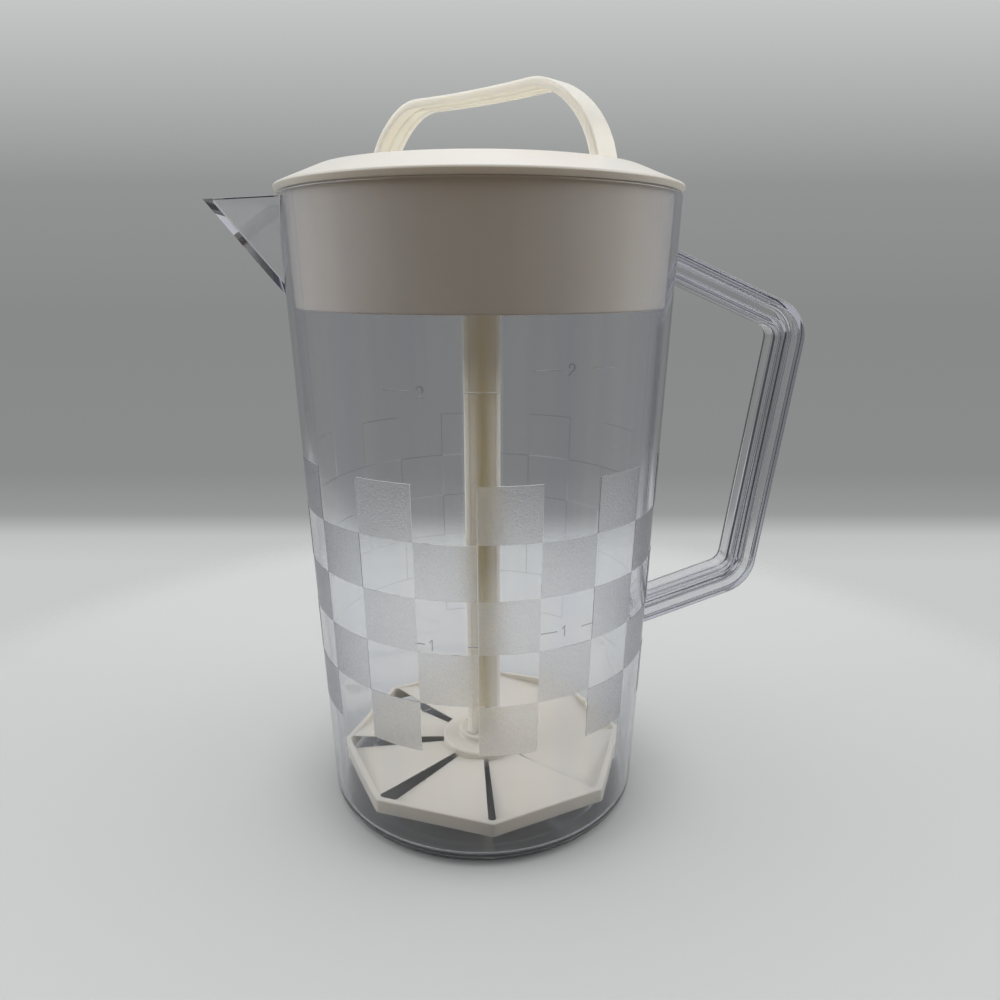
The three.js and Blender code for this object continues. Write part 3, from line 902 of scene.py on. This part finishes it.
def handle_band():
    """The side handle, a band of I section."""
    wide, web = BAND_WIDTH / 2, BAND_WEB / 2
    near, far = -BAND_FLANGE, BAND_FLANGE - BAND_DEPTH
    section = rounded(
        [
            (0, -wide, BAND_EDGE),
            (0, wide, BAND_EDGE),
            (near, wide, BAND_LIP),
            (near, web, BAND_FILLET),
            (far, web, BAND_FILLET),
            (far, wide, BAND_LIP),
            (-BAND_DEPTH, wide, BAND_EDGE),
            (-BAND_DEPTH, -wide, BAND_EDGE),
            (far, -wide, BAND_LIP),
            (far, -web, BAND_FILLET),
            (near, -web, BAND_FILLET),
            (near, -wide, BAND_LIP),
        ],
        steps=4,
    )
    return sweep("handle_band", band_path(), section)


def mark_frost(obj, marks):
    """Marks faces as frosted, for the clear material."""
    layer = obj.data.attributes.new("frost", "FLOAT", "FACE")
    layer.data.foreach_set("value", [float(mark) for mark in marks])


def clear_body():
    """Wall, floor, spout, checks and side handle as one clear moulding.

    Two slots of the one material carry the checks through the booleans, and then become marks."""
    profile = body_profile()
    rows = check_rows_of(profile)
    per_column = FACES_PER_CHECK + 1

    def frosted(column, row):
        return row is not None and (column + CHECK_ROWS - 1 - row) % 2 == 0

    def lift(i, j):
        return CHECK_RELIEF if frosted(i // per_column, rows[j]) else 0

    def paint(i, j):
        inside = i % per_column < FACES_PER_CHECK
        same_row = j + 1 < len(rows) and rows[j] == rows[j + 1]
        return int(inside and same_row and frosted(i // per_column, rows[j]))

    body = lathe("clear_body", profile, check_angles(), lift, paint)
    for _ in range(2):
        body.data.materials.append(CLEAR)
    spout = spout_form("spout", 0, 0)
    hollow = spout_form("spout_hollow", spout_shift(), PAST_SPOUT)
    combine(body, [spout, handle_band()], "UNION")
    combine(body, [cavity(), hollow], "DIFFERENCE")
    mark_frost(body, [polygon.material_index for polygon in body.data.polygons])
    for polygon in body.data.polygons:
        polygon.material_index = 0
    body.data.materials.pop()
    smooth(body, CLEAR_CRISP)
    return place(body, "pitcher", ["pitcher_body", "body_handle"], CLEAR)


def wall_point(angle, height, lift):
    """A point on the wall's outside, its angle in degrees from the front towards +X."""
    radius = outer_radius(height) + lift
    turn = math.radians(angle)
    return (radius * math.sin(turn), -radius * math.cos(turn), height)


def stroke(bm, path):
    """A low ridge along a path (angle in degrees, height) on the wall."""
    corners = [
        (-1, -MARK_ROOT),
        (1, -MARK_ROOT),
        (MARK_CREST_SHARE, MARK_RELIEF),
        (-MARK_CREST_SHARE, MARK_RELIEF),
    ]
    for start, end in zip(path, path[1:]):
        degree = math.radians(1) * outer_radius((start[1] + end[1]) / 2)
        run = Vector(((end[0] - start[0]) * degree, end[1] - start[1]))
        side = Vector((-run.y, run.x)).normalized() * MARK_WIDTH / 2
        more = run.normalized() * MARK_WIDTH / 2
        pieces = max(1, math.ceil(run.length / MARK_STEP))
        rings = []
        for i in range(pieces + 1):
            share = i / pieces
            along = run * share + more * (2 * share - 1)
            ring = []
            for across, lift in corners:
                at = along + side * across
                ring.append(bm.verts.new(wall_point(start[0] + at.x / degree, start[1] + at.y, lift)))
            rings.append(ring)
        for one, two in zip(rings, rings[1:]):
            for i in range(4):
                k = (i + 1) % 4
                bm.faces.new([one[i], one[k], two[k], two[i]])
        bm.faces.new(rings[0])
        bm.faces.new(rings[-1])


def volume_marks():
    """Raised lines and plain numbers for the volumes, quarts on the left and litres on the right."""
    bm = bmesh.new()
    for number, height, digit_at, lines in MARKS:
        for start, end in lines:
            stroke(bm, [(start, height), (end, height)])
        width = math.degrees(DIGIT_WIDTH / outer_radius(height))
        bottom = height - DIGIT_HEIGHT / 2
        stroke(bm, [(digit_at + x * width, bottom + y * DIGIT_HEIGHT) for x, y in DIGITS[number]])
    marks = new_object("volume_marks", bm)
    mark_frost(marks, [MARK_FROST] * len(marks.data.polygons))
    return place(marks, "pitcher", [], CLEAR)


def lid_profile():
    """Section of the lid, from the flange's edge over the crest and the sunk middle to the skirt."""
    flange = FLANGE_RADIUS - FLANGE_TAPER
    flange_top = LID_UNDERSIDE + FLANGE_EDGE
    crest_inside = CREST_RADIUS - CREST_WIDTH / 2
    crest_outside = CREST_RADIUS + CREST_WIDTH / 2
    crest_z = CREST_TOP - CREST_WIDTH / 2
    floor_under = RECESS_FLOOR - LID_WALL
    skirt_top = inner_radius(BODY_HEIGHT) - SKIRT_GAP
    skirt_low = inner_radius(SKIRT_BOTTOM) - SKIRT_GAP
    corner = (crest_inside - RECESS_CORNER, RECESS_FLOOR + RECESS_CORNER)
    bevel = (FLANGE_RADIUS - FLANGE_BEVEL, flange_top - FLANGE_BEVEL)
    half_wall = LID_WALL / 2
    return [
        (flange, LID_UNDERSIDE + FLANGE_LIP),
        *arc(bevel, FLANGE_BEVEL, 0, LID_SLOPE, 8),
        *arc((CREST_RADIUS, crest_z), CREST_WIDTH / 2, LID_SLOPE, 180, 12),
        *arc(corner, RECESS_CORNER, 0, -90, 6),
        (0, RECESS_FLOOR),
        (0, floor_under - GUIDE_LENGTH),
        (GUIDE_RADIUS, floor_under - GUIDE_LENGTH),
        (GUIDE_RADIUS, floor_under),
        *arc(corner, RECESS_CORNER + LID_WALL, -90, 0, 6),
        (crest_inside + LID_WALL, crest_z - LID_WALL),
        (crest_outside, crest_z - LID_WALL),
        (skirt_top - LID_WALL, LID_UNDERSIDE + half_wall),
        (skirt_low - LID_WALL + SKIRT_LIP, SKIRT_BOTTOM + SKIRT_LIP),
        *arc((skirt_low - half_wall, SKIRT_BOTTOM + half_wall), half_wall, 200, 340, 6),
        (skirt_top, LID_UNDERSIDE),
        (flange - FLANGE_LIP, LID_UNDERSIDE),
    ]


def skirt_cuts():
    """Tools for the pour window and the strainer slots."""
    skirt_low = inner_radius(SKIRT_BOTTOM) - SKIRT_GAP
    cut = partial(
        wedge,
        inner=skirt_low - PAST_WALL,
        outer=RIM_RADIUS + PAST_WALL,
        low=WINDOW_TOP - WINDOW_HEIGHT,
        high=WINDOW_TOP,
    )
    cuts = [cut("pour", POUR_DIRECTION, POUR_SPREAD)]
    slot = math.degrees(STRAINER_WIDTH / (skirt_low - LID_WALL))
    for k in range(STRAINER_SLOTS):
        direction = STRAINER_DIRECTION + (k - (STRAINER_SLOTS - 1) / 2) * STRAINER_PITCH
        cuts.append(cut("slot", direction, slot))
    return cuts


def lid():
    piece = lathe("white_lid", lid_profile(), even_angles(LID_FACETS))
    hole = shaft_hole("guide_hole", GUIDE_GAP, RECESS_FLOOR - LID_WALL - PAST_GUIDE, CREST_TOP)
    hole.data.transform(Matrix.Rotation(math.radians(PLUNGER_TURN), 4, "Z"))
    combine(piece, skirt_cuts() + [hole], "DIFFERENCE")
    smooth(piece)
    return place(piece, "lid", ["lid"], WHITE)


def arch_path():
    """Outer line of the arch from the right foot over the crown to the left."""
    spring = FOOT_UNDERSIDE + ARCH_SPRING
    leg = arc((ARCH_HALF - ARCH_RADIUS, spring), ARCH_RADIUS, 0, ARCH_SWEEP, LEG_STEPS)
    shoulder = Vector(leg[-1])
    crown = []
    for step in range(2, CROWN_STEPS):
        share = 1 - step / CROWN_STEPS
        crown.append((share * shoulder.x, shoulder.y - CROWN_DIP * (1 - share**2)))
    leg = leg[:-SHOULDER_STEPS]
    start, end = Vector(leg[-1]), Vector(crown[0])
    bend = []
    for step in range(1, SHOULDER_STEPS):
        share = step / SHOULDER_STEPS
        bend.append(tuple(start.lerp(shoulder, share).lerp(shoulder.lerp(end, share), share)))
    right = [(ARCH_HALF, FOOT_UNDERSIDE + ARCH_ROOT)] + leg + bend + crown
    left = [(-x, z) for x, z in reversed(right)]
    return right + [(0, shoulder.y - CROWN_DIP)] + left


def strap_section():
    """Section of the arch's strap, with a channel outside and a rib in the channel."""
    half = STRAP_WIDTH / 2
    channel = CHANNEL_WIDTH / 2
    rib = RIB_WIDTH / 2
    deep = STRAP - CHANNEL_DEPTH
    return rounded(
        [
            (0, half, STRAP_INSIDE_EDGE),
            (0, -half, STRAP_INSIDE_EDGE),
            (STRAP, -half, STRAP_EDGE),
            (STRAP, -channel, CHANNEL_EDGE),
            (deep, -channel, CHANNEL_EDGE),
            (deep, -rib, RIB_EDGE),
            (STRAP, -rib, RIB_EDGE),
            (STRAP, rib, RIB_EDGE),
            (deep, rib, RIB_EDGE),
            (deep, channel, CHANNEL_EDGE),
            (STRAP, channel, CHANNEL_EDGE),
            (STRAP, half, STRAP_EDGE),
        ],
        steps=3,
    )


def plunger_handle():
    """Arch, foot bar and hub, with a socket for the shaft under the hub."""
    arch = sweep("cream_handle", arch_path(), strap_section())
    half = STRAP_WIDTH / 2
    reach = ARCH_HALF - BAR_INSET
    bar_outline = [(-reach, -half), (reach, -half), (reach, half), (-reach, half)]
    bar = prism("bar", bar_outline, FOOT_UNDERSIDE, FOOT_UNDERSIDE + BAR_HEIGHT, BAR_EDGE)
    hub_top = FOOT_UNDERSIDE + HUB_HEIGHT
    hub_profile = [
        (0, FOOT_UNDERSIDE),
        (HUB_RADIUS, FOOT_UNDERSIDE),
        *arc((HUB_RADIUS - HUB_EDGE, hub_top - HUB_EDGE), HUB_EDGE, 0, 90, 8),
        (0, hub_top),
    ]
    combine(arch, [bar, lathe("hub", hub_profile, even_angles(HUB_FACETS))], "UNION")
    socket = shaft_hole("socket", SOCKET_GAP, FOOT_UNDERSIDE - PAST, FOOT_UNDERSIDE + HUB_SOCKET)
    combine(arch, [socket], "DIFFERENCE")
    smooth(arch)
    return place(arch, "plunger", ["plunger_handle"], CREAM, PLUNGER_TURN)


def plunger_shaft():
    outline = cross(SHAFT_SPAN, SHAFT_RIB, SHAFT_TIP, SHAFT_FILLET)
    shaft = prism("cream_shaft", outline, shaft_box[0].z, shaft_box[1].z)
    smooth(shaft)
    return place(shaft, "plunger", ["plunger_shaft"], CREAM, PLUNGER_TURN)


def octagon(radius, edge=0.0):
    corners = [(radius * math.cos(turn), radius * math.sin(turn), edge) for turn in even_angles(BLADES)]
    return rounded(corners, steps=4)


def blade(index):
    """One slanted blade between two slots, high at its counter-clockwise end."""
    half = math.pi / BLADES
    outer = PLATE_CORNER * math.cos(half) - PLATE_RIM_WALL / 2
    inner = PLATE_HUB - PLATE_RIM_WALL
    inner_half = inner * math.tan(half) - SLOT_INNER / 2
    outer_half = outer * math.tan(half) - SLOT_OUTER / 2
    points = []
    for level, undercut in ((BLADE / 2, 0), (BLADE / 2 - BLADE_EDGE, 0), (-BLADE / 2, BLADE_UNDERCUT)):
        for side in (-1, 1):
            points.append((inner, side * (inner_half - undercut), level))
            points.append((outer, side * (outer_half - undercut), level))
    piece = new_object("blade", hull(points))
    tilt = math.atan((PLATE_RIM - BLADE) / (2 * outer_half))
    middle = Matrix.Translation((0, 0, PLATE_BOTTOM + PLATE_RIM / 2))
    turn = Matrix.Rotation((2 * index + 1) * half, 4, "Z")
    piece.data.transform(turn @ middle @ Matrix.Rotation(tilt, 4, "X"))
    return piece


def plate_hub(low, top, boss_top):
    """The plate's flat hub with its boss."""
    profile = [
        (0, low),
        (PLATE_HUB - PLATE_EDGE, low),
        (PLATE_HUB, low + PLATE_EDGE),
        *arc((PLATE_HUB - PLATE_HUB_EDGE, top - PLATE_HUB_EDGE), PLATE_HUB_EDGE, 0, 90, 6),
        *arc((PLATE_BOSS + BOSS_FILLET, top + BOSS_FILLET), BOSS_FILLET, -90, -180, 6),
        *arc((PLATE_BOSS - BOSS_FILLET, boss_top - BOSS_FILLET), BOSS_FILLET, 0, 90, 6),
        (0, boss_top),
    ]
    return lathe("plate_hub", profile, even_angles(PLATE_HUB_FACETS))


def mixing_plate():
    """Octagonal rim, blades and hub, with a socket for the shaft."""
    top = PLATE_BOTTOM + PLATE_RIM
    outline = octagon(PLATE_CORNER, PLATE_CORNER_ROUND)
    plate = prism("cream_plate", outline, PLATE_BOTTOM, top, PLATE_EDGE)
    inner = PLATE_CORNER - PLATE_RIM_WALL / math.cos(math.pi / BLADES)
    combine(plate, [prism("opening", octagon(inner), PLATE_BOTTOM - PAST, top + PAST)], "DIFFERENCE")
    hub_top = top + PLATE_HUB_STAND
    boss_top = hub_top + PLATE_BOSS_STAND
    hub = plate_hub(PLATE_BOTTOM, hub_top, boss_top)
    combine(plate, [blade(k) for k in range(BLADES)] + [hub], "UNION")
    socket = shaft_hole("plate_socket", SOCKET_GAP, PLATE_BOTTOM + PLATE_SOCKET_FLOOR, boss_top + PAST)
    combine(plate, [socket], "DIFFERENCE")
    smooth(plate)
    # The plate takes the cream plastic painted darker as shade
    return place(plate, "plunger", ["mixing_plate"], CREAM_IN_PAINTED_SHADE, PLUNGER_TURN)


# Camera solved from the photograph, in the frame of the body's axis; the focal length is a share of
# the sensor's width
EYE = Vector((-38.30 * MM, -289.38 * MM, 199.26 * MM))
FORWARD = Vector((0.14812, 0.94999, -0.27493))
FOCAL_SHARE = 0.797498
SENSOR = 36
NEAREST = 0.01
FARTHEST = 20


def camera():
    data = bpy.data.cameras.new("camera")
    data.sensor_width = SENSOR
    data.lens = SENSOR * FOCAL_SHARE
    data.clip_start = NEAREST
    data.clip_end = FARTHEST
    obj = bpy.data.objects.new("camera", data)
    obj.location = EYE + Vector((AXIS_X, 0, 0))
    obj.rotation_euler = FORWARD.to_track_quat("-Z", "Y").to_euler()
    bpy.context.scene.collection.objects.link(obj)
    bpy.context.scene.camera = obj


# Floor: its tones, the distances over which it fades out, and the depths in front of the object over
# which it gets dark for diffuse rays
COOL = (0.985, 1.01, 1.0)
FLOOR_TONE = 0.58
FLOOR_ROUGHNESS = 0.9
FLOOR_SPECULAR = 0.1
FLOOR_FADE = (0.26, 0.33)
FLOOR_MARGIN = 0.02
FLOOR_DROP = 0.05 * MM
FRONT_SHADE = (-0.045, -0.075)
FRONT_DARK = (0.05, 0.05, 0.05)


def floor_material():
    """Pale and dull; it fades out at its edge, and in front it sends little light up to the object."""
    material, tree, shader = new_material("floor")
    feed(tree, shader.inputs["Base Color"], tuple(FLOOR_TONE * part for part in COOL))
    set_inputs(shader, {"Roughness": FLOOR_ROUGHNESS, "Specular IOR Level": FLOOR_SPECULAR})
    at = object_place(tree)
    distance = new_node(tree, "VectorMath", operation="LENGTH")
    tree.links.new(at, distance.inputs[0])
    in_front = ranged(tree, axes_of(tree, at)["Y"], *FRONT_SHADE)
    diffuse = new_node(tree, "LightPath").outputs["Is Diffuse Ray"]
    dark = plain_shader(tree, "BsdfDiffuse", FRONT_DARK)
    shade = computed(tree, "MULTIPLY", in_front, diffuse)
    shaded = mixed_shaders(tree, shade, shader.outputs["BSDF"], dark)
    clear = new_node(tree, "BsdfTransparent").outputs["BSDF"]
    faded = mixed_shaders(tree, ranged(tree, distance.outputs["Value"], *FLOOR_FADE), shaded, clear)
    feed(tree, tree.nodes["Material Output"].inputs["Surface"], faded)
    return material


def floor():
    """A pale disc that fades into the backdrop's colour at its edge."""
    bm = bmesh.new()
    bmesh.ops.create_circle(bm, cap_ends=True, segments=96, radius=FLOOR_FADE[1] + FLOOR_MARGIN)
    disc = new_object("floor", bm)
    disc.location = (AXIS_X, 0, -FLOOR_DROP)
    disc.data.materials.append(floor_material())


# Slopes of the view and tones of the backdrop: pale table below, grey wall, brighter towards the top
TABLE_TONES = [(-0.37, 0.58), (-0.335, 0.53)]
WALL_TONES = [(-0.305, 0.32), (-0.25, 0.26), (-0.05, 0.25), (0.1, 0.29), (0.33, 0.62)]

# A ramp takes values from 0 to 1, so the slopes are moved up by this
SLOPE_SHIFT = 0.5

# The side behind the camera: its tone as light, and as clear and glossy surfaces show it
FRONT_TONE = (0.2, 0.155, 0.107)
FRONT_SEEN = (0.05, 0.05, 0.06)

# Soft lights above, tilted back, and at both sides: their strengths, and how bright they are shown
TOP_LIGHT = 1.43
TOP_LIGHT_TILT = 75
SIDE_LIGHT = 5.4
BRIGHTEST_SEEN = 1.4
SEEN_THROUGH = 0.25

# How near to their directions the lights and the front begin and are full, as cosines
TOP_SPREAD = (0.5, 0.95)
SIDE_SPREAD = (0.6, 0.95)
FRONT_SPREAD = (-0.3, 0.6)

# Slopes of the view over which the lights take over from the backdrop, as light and as shown
LIGHT_SLOPES = (0.25, 0.5)
SHOWN_SLOPES = (0.3, 0.6)

UP = Vector((0, 0, 1))
LEVEL_FORWARD = Vector((FORWARD.x, FORWARD.y, 0)).normalized()


def along(tree, view, direction):
    """The cosine between the view and a direction."""
    node = new_node(tree, "VectorMath", operation="DOT_PRODUCT")
    node.inputs[1].default_value = direction
    tree.links.new(view, node.inputs[0])
    return node.outputs["Value"]


def backdrop_color(tree, slope):
    stops = []
    for at, tone in TABLE_TONES + WALL_TONES:
        stops.append((at + SLOPE_SHIFT, tuple(tone * part for part in COOL)))
    return ramp(tree, computed(tree, "ADD", slope, SLOPE_SHIFT), stops)


def soft_lights(tree, view, aside):
    """Brightness of the lights above and at both sides."""
    tilt = math.radians(TOP_LIGHT_TILT)
    tilted = LEVEL_FORWARD * math.cos(tilt) + UP * math.sin(tilt)
    top = ranged(tree, along(tree, view, tilted), *TOP_SPREAD, 0, TOP_LIGHT)
    sides = ranged(tree, aside, *SIDE_SPREAD, 0, SIDE_LIGHT)
    return computed(tree, "ADD", top, sides)


def world():
    """A grey backdrop with a pale table for what is seen, and soft light from above and both sides."""
    data = bpy.data.worlds.new("studio")
    data.use_nodes = True
    bpy.context.scene.world = data
    tree = data.node_tree
    combined = partial(computed, tree)
    view = new_node(tree, "TexCoord").outputs["Generated"]
    forward = along(tree, view, LEVEL_FORWARD)
    aside = combined("ABSOLUTE", along(tree, view, LEVEL_FORWARD.cross(UP)))
    level = combined("MAXIMUM", combined("ABSOLUTE", forward), aside)
    slope = combined("DIVIDE", axes_of(tree, view)["Z"], level)
    backdrop = backdrop_color(tree, slope)
    front = ranged(tree, combined("MULTIPLY", forward, -1), *FRONT_SPREAD)
    high = soft_lights(tree, view, aside)
    low = mixed(tree, front, backdrop, FRONT_TONE)
    light = mixed(tree, ranged(tree, slope, *LIGHT_SLOPES), low, high)

    path = new_node(tree, "LightPath").outputs
    bent = combined("MAXIMUM", path["Is Transmission Ray"], path["Is Glossy Ray"])
    bent = combined("MULTIPLY", bent, combined("SUBTRACT", 1, path["Is Diffuse Ray"]))
    dimming = combined("MULTIPLY_ADD", path["Is Transmission Ray"], SEEN_THROUGH - 1, 1)
    shown_high = combined("MULTIPLY", combined("MINIMUM", high, BRIGHTEST_SEEN), dimming)
    around = mixed(tree, combined("MULTIPLY", front, bent), backdrop, FRONT_SEEN)
    above = combined("MULTIPLY", ranged(tree, slope, *SHOWN_SLOPES), bent)

    lights = plain_shader(tree, "Background", light)
    seen = tree.nodes["Background"]
    feed(tree, seen.inputs["Color"], mixed(tree, above, around, shown_high))
    share = combined("MAXIMUM", path["Is Camera Ray"], bent)
    surface = mixed_shaders(tree, share, lights, seen.outputs["Background"])
    feed(tree, tree.nodes["World Output"].inputs["Surface"], surface)


camera()
world()
floor()
clear_body()
volume_marks()
lid()
plunger_handle()
plunger_shaft()
mixing_plate()
bpy.context.scene.view_settings.view_transform = "Standard"
